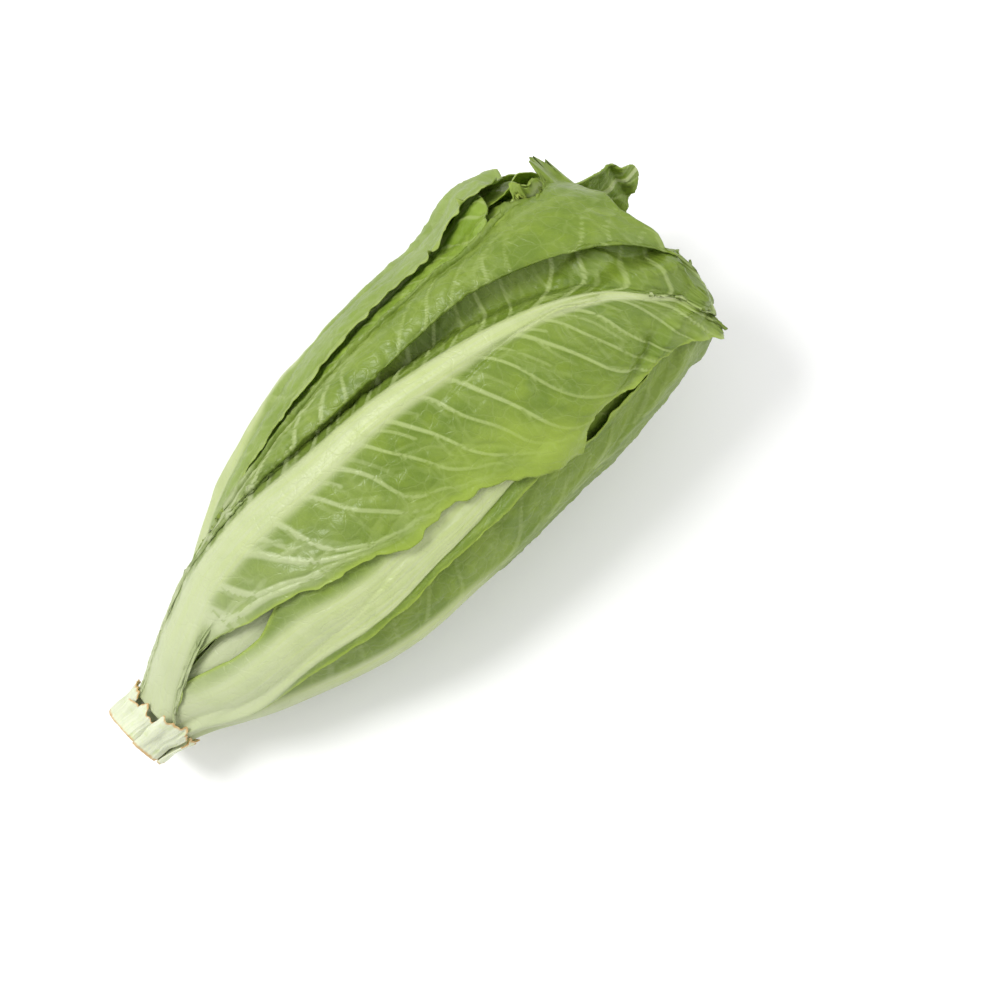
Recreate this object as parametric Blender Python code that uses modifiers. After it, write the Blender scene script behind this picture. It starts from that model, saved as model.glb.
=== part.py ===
"""A head of romaine lettuce lying on its side as it was cut: a short stem with a flat cut face, the leaves
that grow from it wrapped round each other from the heart outwards, and the stubs of the leaves trimmed off.

Every leaf is a grid bent round the axis of the head and thickened with Solidify. The leaves are laid from
the inside out, and each one lies clear of the leaves below it.
"""

import math

import bmesh
import bpy
import numpy as np

MM = 0.001

# The head: distances along its axis are measured from the cut face, in millimetres.
TILT = math.radians(8.0)        # the axis rises towards the leaf tips
ROLL = math.radians(9.0)        # the front of the head is turned this far from straight up towards -Y
BUTT_X = -143.6                 # where the axis meets the cut face
BUTT_Y = -5.6
AXIS_HEIGHT = 32.2              # height of the axis at the cut face
FLATTENING = 0.07               # how much shallower the head is than it is wide
GOLDEN_ANGLE = 137.5            # degrees between one leaf and the next

# Gaps and walls.
NECK_REACH = 2                  # cells that a leaf clears the stack by at its base
STEM_GAP = 0.6                  # least distance between the stem and a leaf
BLADE = 1.1                     # thickness of a leaf beside its rib
FLOOR_SNAP = 4.0                # an underside lower than this lies flat on the surface


def track(*knots):
    """A smooth curve through (place, value) knots that doesn't overshoot them."""
    x = np.array([knot[0] for knot in knots], float)
    y = np.array([knot[1] for knot in knots], float)
    step = np.diff(x)
    slope = np.diff(y) / step
    tangent = np.concatenate([slope[:1], np.zeros(len(x) - 2), slope[-1:]])
    before, after = slope[:-1], slope[1:]
    same_way = before * after > 0
    tangent[1:-1][same_way] = (2 * before * after)[same_way] / (before + after)[same_way]

    def at(place):
        place = np.clip(place, x[0], x[-1])
        i = np.clip(np.searchsorted(x, place, side="right") - 1, 0, len(x) - 2)
        t = (place - x[i]) / step[i]
        start = (2 * t**3 - 3 * t**2 + 1) * y[i] + (t**3 - 2 * t**2 + t) * step[i] * tangent[i]
        end = (3 * t**2 - 2 * t**3) * y[i + 1] + (t**3 - t**2) * step[i] * tangent[i + 1]
        return start + end

    return at


def steady(value):
    """A track that keeps one value."""
    return lambda along: value + 0 * along


# Least distance between two leaves, wider at the tips.
LEAF_GAP = track((0, 0.7), (235, 0.8), (290, 1.8))

# Outline of the head seen from above: half its width, and how far its middle line bends sideways.
HALF_WIDTH = track(
    (-6, 13), (0, 14), (20, 17), (35, 26.5), (60, 36), (95, 48), (130, 55), (170, 59),
    (205, 58.5), (240, 54), (262, 48.5), (280, 34), (290, 23), (296, 14),
)
BEND = track((0, 0), (50, 2), (95, 0), (140, -4.5), (190, -6), (262, -6), (280, -1), (292, -1))

UP = np.array([-math.sin(TILT), 0.0, math.cos(TILT)])
SIDE = np.array([0.0, -1.0, 0.0])
ALONG = np.array([math.cos(TILT), 0.0, math.sin(TILT)])
FRONT = math.cos(ROLL) * UP + math.sin(ROLL) * SIDE
RIGHT = math.cos(ROLL) * SIDE - math.sin(ROLL) * UP
BUTT = np.array([BUTT_X, BUTT_Y, AXIS_HEIGHT])


def to_world(along, angle, radius):
    """Millimetre points from the distance along the axis, the angle from the front in degrees, and the radius."""
    turn = np.radians(angle)
    across = radius * np.sin(turn) + BEND(along)
    height = radius * np.cos(turn)
    along, across, height = np.broadcast_arrays(along, across, height)
    return BUTT + along[..., None] * ALONG + across[..., None] * RIGHT + height[..., None] * FRONT


def hull_radius(along, angle):
    """Radius of the whole head, which is a little flattened, and pressed flat where it lies on the surface."""
    turn = np.radians(angle)
    free = HALF_WIDTH(along) * (1 - FLATTENING * np.cos(turn) ** 2)
    axis_height = BUTT[2] + along * ALONG[2] + BEND(along) * RIGHT[2]
    downward = np.maximum(-(np.cos(turn) * FRONT[2] + np.sin(turn) * RIGHT[2]), 0.05)
    to_floor = axis_height / downward
    sharpness = 14
    return (free**-sharpness + to_floor**-sharpness) ** (-1 / sharpness)


class Stack:
    """Outer radius of everything laid so far, as a share of the whole head's radius there.

    It is kept on a grid of distance along the axis and angle round it.
    """

    STEP = 2.5
    START = -20.0

    def __init__(self):
        self.share = np.zeros((132, 144))

    def add(self, along, angle, radius):
        """Raises the stack to a surface given as a grid of points."""
        along, angle, radius = (self.refine(values) for values in (along, angle, radius))
        rows = np.clip(np.round((along - self.START) / self.STEP).astype(int), 0, 131)
        columns = np.round(angle / self.STEP).astype(int) % 144
        np.maximum.at(self.share, (rows, columns), radius / hull_radius(along, angle))

    @staticmethod
    def refine(grid, times=8):
        """The grid with straight lines filled in between its points."""
        for axis in (0, 1):
            size = grid.shape[axis]
            places = np.linspace(0, size - 1, (size - 1) * times + 1)
            low = np.minimum(places.astype(int), size - 2)
            share = places - low
            share = share[:, None] if axis == 0 else share[None, :]
            grid = np.take(grid, low, axis) * (1 - share) + np.take(grid, low + 1, axis) * share
        return grid

    def cover(self, along, angle, reach):
        """Radius that clears the stack with reach cells to spare, and with fewer close to the cut face."""
        far_from_cut = np.clip((along - 14) / 16, 0, 1)
        near = self.spread(along, angle, NECK_REACH)
        return near + (self.spread(along, angle, reach) - near) * far_from_cut

    def spread(self, along, angle, reach):
        """Radius of the stack with its steps spread out by reach cells and smoothed, at the given places."""
        spread = self.share
        for _ in range(reach):
            tall = np.pad(spread, ((1, 1), (0, 0)), mode="edge")
            spread = np.maximum(np.maximum(tall[:-2], tall[2:]), spread)
            spread = np.maximum(np.maximum(np.roll(spread, 1, 1), np.roll(spread, -1, 1)), spread)
        for _ in range(reach - 1):
            tall = np.pad(spread, ((1, 1), (0, 0)), mode="edge")
            spread = (tall[:-2] + tall[2:] + spread) / 3
            spread = (np.roll(spread, 1, 1) + np.roll(spread, -1, 1) + spread) / 3
        row = np.clip((along - self.START) / self.STEP, 0, 130.999)
        column = (angle / self.STEP) % 144
        i, j = row.astype(int), column.astype(int)
        a, b = row - i, column - j
        k = (j + 1) % 144
        near = spread[i, j % 144] * (1 - b) + spread[i, k] * b
        far = spread[i + 1, j % 144] * (1 - b) + spread[i + 1, k] * b
        return (near * (1 - a) + far * a) * hull_radius(along, angle)


stack = Stack()

bpy.ops.object.select_all(action="DESELECT")
for old in list(bpy.data.objects):
    bpy.data.objects.remove(old, do_unlink=True)
head = bpy.data.collections.new("romaine_head")
bpy.context.scene.collection.children.link(head)


def plain_material(name, colour, roughness=0.5):
    material = bpy.data.materials.new(name)
    material.use_nodes = True
    shader = material.node_tree.nodes["Principled BSDF"]
    shader.inputs["Base Color"].default_value = (*colour, 1.0)
    shader.inputs["Roughness"].default_value = roughness
    material.diffuse_color = (*colour, 1.0)
    return material


HEART_GREEN = ("heart_green", (0.55, 0.66, 0.16), 0.5)
INNER_GREEN = ("inner_green", (0.38, 0.55, 0.12), 0.5)
OUTER_GREEN = ("outer_green", (0.22, 0.42, 0.07), 0.45)
PALE_STUB = ("pale_stub", (0.75, 0.76, 0.62), 0.45)
CUT_STEM = ("cut_stem", (0.70, 0.66, 0.50), 0.6)


def place(obj, name, finish):
    """Names an object, gives it a material of its own and puts it in the head's collection."""
    obj.name = name
    obj.data.name = name
    colour_name, colour, roughness = finish
    obj.data.materials.clear()
    obj.data.materials.append(plain_material(f"{colour_name}_{name}", colour, roughness))
    for collection in list(obj.users_collection):
        collection.objects.unlink(obj)
    head.objects.link(obj)


def sheet(name, points, thickness, finish):
    """A bent grid whose points are its outer side, thickened inwards by thickness at each point."""
    rows, columns = points.shape[:2]
    bpy.ops.mesh.primitive_grid_add(x_subdivisions=columns - 1, y_subdivisions=rows - 1, size=2)
    obj = bpy.context.object
    obj.data.vertices.foreach_set("co", (points * MM).astype(np.float32).ravel())
    group = obj.vertex_groups.new(name="thickness")
    thickest = float(thickness.max())
    for index, value in enumerate(thickness.ravel()):
        group.add([index], float(value) / thickest, "REPLACE")
    wall = obj.modifiers.new("wall", "SOLIDIFY")
    wall.thickness = thickest * MM
    wall.offset = -1
    wall.vertex_group = "thickness"
    wall.thickness_vertex_group = 0.0
    wall.use_rim = True
    obj.data.shade_smooth()
    place(obj, name, finish)
    return obj


def grid(rows, columns):
    """Places on a leaf: 0 at its base to 1 at its tip, and -1 at its left edge to 1 at its right one."""
    up = np.linspace(0, 1, rows)
    up = 0.35 * up + 0.65 * (3 * up**2 - 2 * up**3)
    side = np.linspace(-1, 1, columns)
    side = 0.85 * side + 0.15 * side**3
    return np.meshgrid(up, side, indexing="ij")


def rib_swell(along, off_rib, leaf):
    """How far the rib stands out from the blade at a distance along the head and away from the rib."""
    half = leaf["rib_half"](along)
    return leaf["rib_height"](along) / (1 + (np.abs(off_rib) / half) ** 4)


def slant(along, angle, radius):
    """How much more than its thickness a sheet takes up along the radius, where it lies at a slant."""
    points = to_world(along, angle, radius)
    normal = np.cross(np.gradient(points, axis=0), np.gradient(points, axis=1))
    normal /= np.linalg.norm(normal, axis=2, keepdims=True) + 1e-9
    outwards = to_world(along, angle, radius + 1.0) - points
    return 1 / np.maximum(np.abs((normal * outwards).sum(axis=2)), 0.4)


def lay_leaf(leaf):
    """Lays one leaf over the stack and makes its solid."""
    up, side = grid(*leaf["cells"])
    along, angle, target = leaf["shape"](leaf, up, side)
    off_rib = np.radians(angle - leaf["rib"](along)) * HALF_WIDTH(along)
    thickness = BLADE + rib_swell(along, off_rib, leaf)
    inner = np.maximum(target, stack.cover(along, angle, leaf["reach"]) + leaf["looseness"] * LEAF_GAP(along))
    outer = inner + thickness * slant(along, angle, inner)
    points = to_world(along, angle, outer)
    if leaf.get("rests"):
        points[..., 2] = np.where(points[..., 2] < FLOOR_SNAP, 0.0, points[..., 2])
    stack.add(along, angle, outer)
    return sheet(leaf["name"], points, thickness, leaf["finish"])


def wrapped(leaf, up, side):
    """The plain way a leaf lies: wrapped round the head at one level, with a rounded tip."""
    reach = leaf["tip"] - leaf["rounding"] * np.abs(side) ** 2.2
    along = leaf["base"] + (reach - leaf["base"]) * up
    rib = leaf["rib"](along)
    edge = np.where(side < 0, leaf["left"](along), leaf["right"](along))
    angle = rib + np.abs(side) * (edge - rib)
    tuck = np.where(side < 0, leaf["tuck_left"], leaf["tuck_right"]) * side**2
    return along, angle, leaf["level"](along) * hull_radius(along, angle) - tuck


def spiral_leaf(name, turn, base, tip, widest, level, finish, cells):
    """A leaf of the heart or of the layers round it: its edges follow from its width."""

    def half_angle(along):
        share = (along - base) / (tip - base)
        half = widest * track((0, 0.16), (0.3, 0.5), (0.65, 1.0), (1, 0.82))(share)
        return np.degrees(half / np.maximum(level * HALF_WIDTH(along), 7.0))

    return {
        "name": name,
        "finish": finish,
        "cells": cells,
        "shape": wrapped,
        "base": base,
        "tip": tip,
        "rounding": 0.14 * (tip - base),
        "rib": lambda along: turn + 0 * along,
        "left": lambda along: turn - half_angle(along),
        "right": lambda along: turn + half_angle(along),
        "level": steady(level),
        "tuck_left": 0,
        "tuck_right": 0,
        "reach": 8,
        "looseness": 2.1,
        "rib_half": track((base, 3.2), (tip, 1.5)),
        "rib_height": track((base, 1.0), (tip, 0.2)),
    }


def outer_leaf(name, base, tip, rib, left, right, level, swell=2.0, **more):
    """One of the big leaves, from tracks of its rib and its two edges round the head, in degrees."""
    leaf = {
        "name": name,
        "finish": OUTER_GREEN,
        "cells": (11, 13),
        "shape": wrapped,
        "base": base,
        "tip": tip,
        "rounding": 22,
        "rib": rib,
        "left": left,
        "right": right,
        "level": level,
        "tuck_left": 0,
        "tuck_right": 0,
        "reach": 5,
        "looseness": 1.0,
        "rib_half": track((base, 7), (110, 6), (200, 4.5), (tip, 1.5)),
        "rib_height": track((base, 0.9 * swell), (110, swell), (200, 0.7 * swell), (tip, 0.2)),
    }
    leaf.update(more)
    return leaf


# ---------------------------------------------------------------- stem

STEM_PROFILE = ((0, 12.8), (7, 12.0), (14, 9.4), (26, 8.4), (60, 7.0), (90, 4.6), (104, 2.4))
STEM_SIDES = 20


def make_stem():
    """The stem is turned about the axis of the head, with its cut face flat across it."""
    mesh = bpy.data.meshes.new("stem_core")
    shape = bmesh.new()
    corners = [(0.0, 0.0)] + [(radius, along) for along, radius in STEM_PROFILE] + [(0.0, 106.0)]
    corners.reverse()
    points = [shape.verts.new((radius * MM, 0, along * MM)) for radius, along in corners]
    for start, end in zip(points, points[1:]):
        shape.edges.new((start, end))
    shape.to_mesh(mesh)
    shape.free()
    stem = bpy.data.objects.new("stem_core", mesh)
    head.objects.link(stem)
    turned = stem.modifiers.new("turned", "SCREW")
    turned.steps = STEM_SIDES
    turned.render_steps = STEM_SIDES
    turned.use_merge_vertices = True
    turned.merge_threshold = 0.0001
    stem.location = BUTT * MM
    stem.rotation_euler = (0, math.pi / 2 - TILT, 0)
    place(stem, "stem_core", CUT_STEM)
    along = np.array([knot[0] for knot in STEM_PROFILE], float)
    radius = np.array([knot[1] for knot in STEM_PROFILE], float)
    round_angles = np.arange(0, 361, 5.0)
    bulge = (STEM_GAP - LEAF_GAP(along) + radius + np.abs(BEND(along)))[:, None]
    stack.add(
        np.repeat(along[:, None], len(round_angles), 1),
        np.repeat(round_angles[None, :], len(along), 0),
        np.repeat(bulge, len(round_angles), 1),
    )


make_stem()

# ---------------------------------------------------------------- heart and inner leaves

HEART_LEAVES = 6
INNER_LEAVES = 8

for number in range(HEART_LEAVES):
    share = number / (HEART_LEAVES - 1)
    lay_leaf(
        spiral_leaf(
            f"heart_leaf_{number + 1}",
            turn=40 + GOLDEN_ANGLE * number,
            base=98 - 12 * share,
            tip=190 + 50 * share,
            widest=17 + 13 * share,
            level=0.12 + 0.22 * share,
            finish=HEART_GREEN,
            cells=(7, 6),
        )
    )

for number in range(INNER_LEAVES):
    share = number / (INNER_LEAVES - 1)
    lay_leaf(
        spiral_leaf(
            f"inner_leaf_{number + 1}",
            turn=150 + GOLDEN_ANGLE * number,
            base=80 - 28 * share,
            tip=246 + 20 * share,
            widest=33 + 12 * share,
            level=0.38 + 0.24 * share,
            finish=INNER_GREEN,
            cells=(9, 8),
        )
    )


# ---------------------------------------------------------------- outer leaves

OUTER_LEAVES = [
    outer_leaf(
        "back_right_inner_leaf", 38, 276, rib=steady(148),
        left=track((38, 124), (100, 98), (276, 104)), right=track((38, 172), (100, 200), (276, 190)),
        level=steady(0.70), swell=1.0,
    ),
    outer_leaf(
        "back_left_inner_leaf", 36, 272, rib=steady(-144),
        left=track((36, -168), (100, -190), (272, -186)), right=track((36, -120), (100, -92), (272, -100)),
        level=steady(0.74), swell=1.0,
    ),
    outer_leaf(
        "curled_leaf", 34, 266, rib=steady(-66), rounding=14,
        left=track((34, -88), (100, -104), (266, -104)), right=track((34, -46), (100, -30), (266, -34)),
        level=track((34, 0.68), (180, 0.74), (240, 0.80), (266, 0.84)), swell=1.4,
    ),
    outer_leaf(
        "right_inner_leaf", 33, 264, rib=steady(66),
        left=track((33, 44), (100, 14), (264, 20)), right=track((33, 90), (100, 120), (264, 112)),
        level=track((33, 0.70), (150, 0.78), (264, 0.80)), swell=1.4,
    ),
    outer_leaf(
        "crown_leaf", 32, 293, rib=track((32, 196), (200, 205), (293, 250)), rounding=30,
        left=track((32, 178), (100, 160), (293, 190)), right=track((32, 218), (100, 252), (293, 300)),
        level=track((32, 0.70), (200, 0.80), (262, 0.90), (293, 0.95)), swell=1.0, looseness=2.2,
    ),
    outer_leaf(
        "left_inner_leaf", 30, 246, rib=track((30, -72), (246, -86)),
        left=track((30, -92), (100, -128), (246, -124)), right=track((30, -52), (100, -44), (246, -42)),
        level=track((30, 0.72), (100, 0.86), (246, 0.87)), tuck_right=2, tuck_left=2, swell=1.2,
    ),
    outer_leaf(
        "front_right_leaf", 15, 256,
        rib=track((15, 34), (40, 34), (78, 37), (120, 38), (256, 42)),
        left=track((15, 18), (50, 24), (63, 20), (80, 8), (110, -2), (256, 4)),
        right=track((15, 50), (78, 56), (150, 58), (256, 66)),
        level=track((15, 0.74), (60, 0.88), (150, 0.90), (256, 0.84)), tuck_left=3, tuck_right=4,
    ),
    outer_leaf(
        "back_left_leaf", 16, 280, rib=track((16, -138), (280, -134)),
        left=track((16, -154), (90, -178), (280, -172)), right=track((16, -120), (90, -96), (280, -100)),
        level=track((16, 0.74), (90, 0.86), (280, 0.89)), tuck_left=2, tuck_right=2, swell=1.3, looseness=1.4,
    ),
    outer_leaf(
        "back_right_leaf", 16, 288, rib=track((16, 118), (288, 116)),
        left=track((16, 102), (60, 92), (180, 84), (288, 66)), right=track((16, 136), (90, 162), (288, 158)),
        level=track((16, 0.74), (90, 0.89), (288, 0.90)), tuck_left=1, tuck_right=2, looseness=1.3,
    ),
    outer_leaf(
        "right_leaf", 14, 291, rib=track((14, 82), (60, 82), (150, 77), (291, 70)),
        left=track((14, 64), (60, 56), (160, 57), (236, 56), (291, 50)),
        right=track((14, 100), (90, 122), (291, 118)),
        level=track((14, 0.76), (60, 0.90), (120, 0.98), (291, 1.0)), rounding=14, tuck_left=6,
    ),
    outer_leaf(
        "bottom_leaf", 15, 276, rib=steady(172),
        left=track((15, 154), (90, 124), (276, 132)), right=track((15, 190), (90, 222), (276, 214)),
        level=track((15, 0.76), (70, 0.985), (276, 0.985)), rests=True, tuck_right=2, swell=1.5,
    ),
    outer_leaf(
        "left_leaf", 15, 262, rib=track((15, -92), (262, -104)), rounding=12,
        left=track((15, -110), (90, -148), (262, -146)), right=track((15, -72), (60, -61), (225, -61), (262, -70)),
        level=track((15, 0.76), (60, 0.86), (110, 0.96), (220, 0.96), (262, 0.92)),
    ),
]

for leaf in OUTER_LEAVES:
    lay_leaf(leaf)

# ---------------------------------------------------------------- front leaf

FRONT_RIB_LEFT = track(
    (16, -11), (26, -16.8), (46, -25), (67, -31.6), (96, -33.5), (126, -31), (157, -28.5), (180, -24.4),
    (202, -19), (227, -10.8), (249, 0.7), (267, 15.9), (280, 26.6),
)
FRONT_RIB_RIGHT = track(
    (16, 7), (30, 3.5), (45, -9), (64, -13), (93, -14.3), (119, -13), (149, -9.9), (173, -6.4),
    (198, -3.7), (226, 1.7), (248, 12.7), (280, 28.4),
)
FRONT_EDGE_RIGHT = track(
    (16, 9), (45, 2), (60, 4.5), (80, 5), (105, 12), (137, 20), (165, 25.5), (188, 32), (203, 36),
    (240, 35.6), (268, 32), (280, 29.6),
)
# The left half of the front leaf dips into a valley and rises again into a long roll.
ROLL_OUTSIDE = track(
    (16, -13), (46, -27), (67, -33.5), (96, -38), (112, -41.6), (131, -44.7), (160, -48.2), (205, -48.9),
    (226, -43.5), (251, -40.5), (261, -41.4), (272, -46), (288, -46),
)
ROLL_INSIDE = track(
    (16, -12), (67, -32.6), (96, -35), (126, -34), (168, -32), (187, -31.4), (208, -30), (230, -24.7),
    (246, -18.6), (261, -11), (277, 1), (288, 12),
)
ROLL_HEIGHT = track((16, 0), (80, 0), (130, 0.5), (180, 1), (288, 1))
FRONT_TIP = track((-1, 271), (-0.8, 276), (-0.6, 283), (-0.42, 287.5), (-0.2, 284), (0, 280), (1, 278))
FRONT_DEPTH = 0.93


def dome(along, across):
    """Height of the front of the head above its axis."""
    half = HALF_WIDTH(along)
    return FRONT_DEPTH * half * np.sqrt(np.maximum(1 - (across / half) ** 2, 0.02))


def front_section(leaf, up, side):
    """The front leaf, from the edge under its roll, over the roll, the valley and the rib, to its right edge."""
    base = leaf["base"]
    along = base + (FRONT_TIP(side) - base) * up
    outside, inside, rib_left, rib_right, edge = (
        line(along) - BEND(along)
        for line in (ROLL_OUTSIDE, ROLL_INSIDE, FRONT_RIB_LEFT, FRONT_RIB_RIGHT, FRONT_EDGE_RIGHT)
    )
    roll = ROLL_HEIGHT(along)
    knots = (
        (-1.0, outside + 2 * roll, -9 * roll - 1),
        (-0.82, outside, -1.5 * roll - 1),
        (-0.62, 0.55 * outside + 0.45 * inside, 0.5 * roll - 1),
        (-0.44, inside, -1.5 * roll - 1),
        (-0.28, 0.35 * inside + 0.65 * rib_left, -8.5 * roll - 1),
        (-0.12, rib_left, -1.0 - 0.5 * roll),
        (0.0, (rib_left + rib_right) / 2, np.zeros_like(roll)),
        (0.12, rib_right, np.full_like(roll, -1.6)),
        (0.5, (rib_right + edge) / 2, np.full_like(roll, -2.4)),
        (1.0, edge, np.full_like(roll, -2.0)),
    )
    across = np.zeros_like(along)
    height = np.zeros_like(along)
    for (low, across_low, rise_low), (high, across_high, rise_high) in zip(knots, knots[1:]):
        inside_span = (side >= low) & (side <= high)
        share = (side - low) / (high - low)
        share = share * share * (3 - 2 * share)
        across = np.where(inside_span, across_low + (across_high - across_low) * share, across)
        rise = rise_low + (rise_high - rise_low) * share
        height = np.where(inside_span, dome(along, across) + rise, height)
    return along, np.degrees(np.arctan2(across, height)), np.hypot(across, height) - BLADE


def front_rib(along):
    across = (FRONT_RIB_LEFT(along) + FRONT_RIB_RIGHT(along)) / 2 - BEND(along)
    return np.degrees(np.arctan2(across, dome(along, across)))


lay_leaf(
    outer_leaf(
        "front_leaf", 16, 288, rib=front_rib, left=None, right=None, level=None,
        shape=front_section, cells=(13, 21), looseness=2.2,
    )
)

# ---------------------------------------------------------------- stubs of the trimmed leaves

STUBS = (
    # angle round the stem, distances along it, half its width in degrees
    (-82, -1.5, 13, 30),
    (-20, -1.0, 9, 26),
    (38, -1.5, 13, 24),
    (88, -1.0, 13, 22),
    (150, -1.5, 14, 34),
    (214, -1.0, 12, 28),
)


def stub(number, turn, base, tip, half):
    leaf = outer_leaf(
        f"leaf_stub_{number}", base, tip, rib=steady(turn), left=steady(turn - half), right=steady(turn + half),
        level=track((base, 0.9), (tip - 5, 0.98), (tip, 1.04)), rounding=3, cells=(5, 6), finish=PALE_STUB,
        rib_half=steady(6.0), rib_height=track((base, 1.0), (tip, 0.1)), reach=NECK_REACH,
    )
    return lay_leaf(leaf)


for number, (turn, base, tip, half) in enumerate(STUBS, 1):
    stub(number, turn, base, tip, half)
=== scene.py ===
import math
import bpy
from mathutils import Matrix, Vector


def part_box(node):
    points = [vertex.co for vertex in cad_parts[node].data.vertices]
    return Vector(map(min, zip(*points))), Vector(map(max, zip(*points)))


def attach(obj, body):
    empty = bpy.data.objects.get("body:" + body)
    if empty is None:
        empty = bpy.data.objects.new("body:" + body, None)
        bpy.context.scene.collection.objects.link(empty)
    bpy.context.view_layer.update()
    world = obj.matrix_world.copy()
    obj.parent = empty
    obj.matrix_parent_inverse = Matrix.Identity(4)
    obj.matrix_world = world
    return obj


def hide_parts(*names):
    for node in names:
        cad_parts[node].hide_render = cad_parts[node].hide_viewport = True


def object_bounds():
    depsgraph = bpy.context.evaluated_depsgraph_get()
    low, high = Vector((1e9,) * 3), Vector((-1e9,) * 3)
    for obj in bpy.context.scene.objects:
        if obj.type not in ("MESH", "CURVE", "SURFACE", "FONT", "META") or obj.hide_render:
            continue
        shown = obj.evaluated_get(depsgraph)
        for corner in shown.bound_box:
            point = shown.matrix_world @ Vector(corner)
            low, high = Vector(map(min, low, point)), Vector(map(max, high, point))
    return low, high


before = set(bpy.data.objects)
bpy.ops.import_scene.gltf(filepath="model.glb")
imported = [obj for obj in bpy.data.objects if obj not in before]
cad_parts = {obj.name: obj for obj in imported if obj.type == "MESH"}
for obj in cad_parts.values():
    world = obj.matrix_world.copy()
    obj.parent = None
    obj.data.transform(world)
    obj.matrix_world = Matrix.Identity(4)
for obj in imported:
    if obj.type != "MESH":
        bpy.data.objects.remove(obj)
cad_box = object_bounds()

# The looks of a head of romaine lettuce lying on its side. The leaves are laid again, finely, round the axis
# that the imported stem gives: from the heart outwards, each one clear of those below it except at its foot,
# where it is smoothed into them. Every leaf grows its own rib, side veins, puckers and frilled margin, and a
# geometry nodes tree gives it its net of small veins and its wall. Lengths are in millimetres until a mesh
# is made, and angles round the head are in degrees.

from types import SimpleNamespace

import bpy
import numpy as np
from mathutils import Vector

MM = 0.001
TILT = math.radians(8.0)        # the axis rises towards the leaf tips
ROLL = math.radians(9.0)        # the front of the head is turned this far from straight up towards -Y
FLATTENING = 0.07               # how much shallower the head is than it is wide
GOLDEN_ANGLE = 137.5            # degrees between one leaf and the next
STEM_RADIUS = 12.8              # of the cut face
MARGIN = 0.35                   # thickness of a leaf at its edge
BLADE = 0.75                    # and beside its rib
ABOVE_TABLE = 0.0               # no leaf goes below this height

low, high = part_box("stem_core")
BUTT = np.array([
    low.x / MM + STEM_RADIUS * math.sin(TILT),
    (low.y + high.y) / 2 / MM,
    low.z / MM + STEM_RADIUS * math.cos(TILT),
])


# ---- curves and noise

def track(*knots):
    """A smooth curve through (place, value) knots that doesn't overshoot them."""
    x = np.array([knot[0] for knot in knots], float)
    y = np.array([knot[1] for knot in knots], float)
    step = np.diff(x)
    slope = np.diff(y) / step
    tangent = np.concatenate([slope[:1], np.zeros(len(x) - 2), slope[-1:]])
    before, after = slope[:-1], slope[1:]
    same_way = before * after > 0
    tangent[1:-1][same_way] = (2 * before * after)[same_way] / (before + after)[same_way]

    def at(place):
        place = np.clip(place, x[0], x[-1])
        i = np.clip(np.searchsorted(x, place, side="right") - 1, 0, len(x) - 2)
        t = (place - x[i]) / step[i]
        start = (2 * t**3 - 3 * t**2 + 1) * y[i] + (t**3 - 2 * t**2 + t) * step[i] * tangent[i]
        end = (3 * t**2 - 2 * t**3) * y[i + 1] + (t**3 - t**2) * step[i] * tangent[i + 1]
        return start + end

    return at


def steady(value):
    """A track that keeps one value."""
    return lambda along: value + 0 * along


def ease(value, start, end):
    """0 before start, 1 past end, and a smooth step between them."""
    share = np.clip((value - start) / (end - start), 0, 1)
    return share * share * (3 - 2 * share)


def ripple(x, y, size, seed):
    """Smooth noise from -1 to 1 whose humps are about size apart."""
    lattice = np.random.default_rng(seed).uniform(-1, 1, (64, 64))
    x, y = x / size + 7.3, y / size + 3.1
    i, j = np.floor(x).astype(int), np.floor(y).astype(int)
    a, b = x - i, y - j
    a, b = a * a * (3 - 2 * a), b * b * (3 - 2 * b)
    i, j, k, m = i % 64, j % 64, (i + 1) % 64, (j + 1) % 64
    near = lattice[i, j] * (1 - b) + lattice[i, m] * b
    far = lattice[k, j] * (1 - b) + lattice[k, m] * b
    return near * (1 - a) + far * a


# ---- outline of the head

HALF_WIDTH = track(
    (-6, 13), (0, 14), (12, 15), (24, 18.5), (35, 26), (60, 36), (95, 48), (130, 55), (170, 59),
    (205, 58.5), (240, 54), (262, 47), (280, 33), (290, 23), (296, 14),
)
BEND = track((0, 0), (50, 2), (95, 0), (140, -4.5), (190, -6), (262, -6), (280, -1), (292, -1))
LEAF_GAP = track((0, 0.35), (200, 0.45), (290, 1.4))

UP = np.array([-math.sin(TILT), 0.0, math.cos(TILT)])
SIDE = np.array([0.0, -1.0, 0.0])
ALONG = np.array([math.cos(TILT), 0.0, math.sin(TILT)])
FRONT = math.cos(ROLL) * UP + math.sin(ROLL) * SIDE
RIGHT = math.cos(ROLL) * SIDE - math.sin(ROLL) * UP


def to_world(along, angle, radius):
    """Points from the distance along the axis, the angle from the front in degrees, and the radius."""
    turn = np.radians(angle)
    across = radius * np.sin(turn) + BEND(along)
    height = radius * np.cos(turn)
    along, across, height = np.broadcast_arrays(along, across, height)
    return BUTT + along[..., None] * ALONG + across[..., None] * RIGHT + height[..., None] * FRONT


def hull_radius(along, angle):
    """Radius of the whole head, a little flattened, and pressed flat where it lies on the surface."""
    turn = np.radians(angle)
    free = HALF_WIDTH(along) * (1 - FLATTENING * np.cos(turn) ** 2)
    axis_height = BUTT[2] + along * ALONG[2] + BEND(along) * RIGHT[2]
    downward = np.maximum(-(np.cos(turn) * FRONT[2] + np.sin(turn) * RIGHT[2]), 0.05)
    to_floor = axis_height / downward
    sharpness = 14
    return (free**-sharpness + to_floor**-sharpness) ** (-1 / sharpness)


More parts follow.
